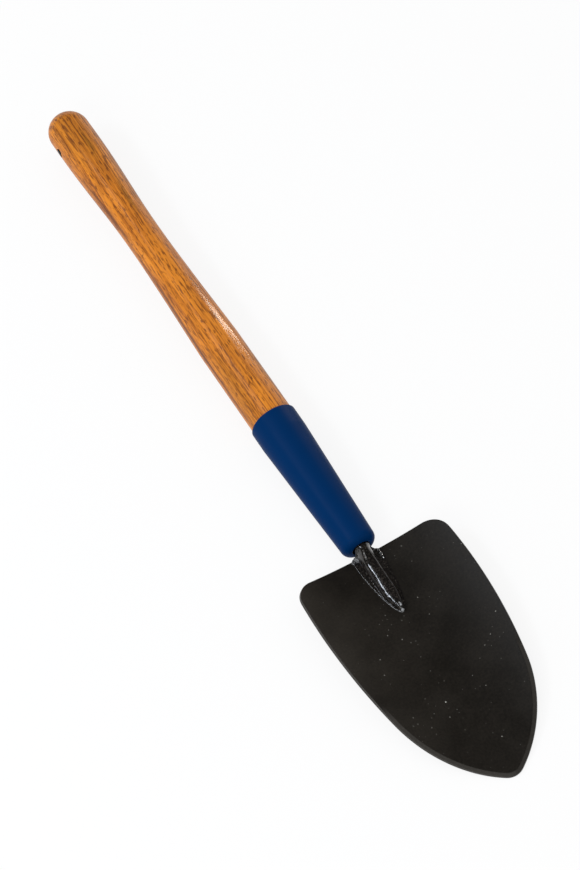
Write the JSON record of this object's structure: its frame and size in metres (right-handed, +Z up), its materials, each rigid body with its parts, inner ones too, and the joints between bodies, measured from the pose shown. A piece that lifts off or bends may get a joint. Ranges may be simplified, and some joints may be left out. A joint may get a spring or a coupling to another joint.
{
  "type": "nursery trowel",
  "caption": "Long-handled nursery trowel: turned wooden handle with a hang hole, long tapered enamelled ferrule, forged shank and pointed foot, rolled steel blade.",
  "frame": {"origin": "middle of the tool's bounding box seen from above, on the surface that the tool lies on", "axes": "+Y along the tool from the blade's tip to the handle's butt, +X across the blade, +Z up out of the blade's face; the tool lies face up on its ferrule and its blade's tip"},
  "size_m": [0.1168, 0.6164, 0.0398],
  "materials": {
    "wood": "turned hardwood under clear gloss lacquer",
    "ferrule_enamel": "navy blue gloss enamel on steel tube",
    "nail": "plain bright nail",
    "forged_steel": "black lacquer over rough forged steel",
    "blade_steel": "blackened and clear coated plate, ground lower edges",
    "weld": "rough weld bead under thin black lacquer"
  },
  "bodies": {
    "root": {"handle": "wood", "ferrule": "ferrule_enamel", "ferrule_pin": "nail", "shank": "forged_steel", "blade": "blade_steel", "weld_bead_left": "weld", "weld_bead_right": "weld"}
  },
  "joints": []
}
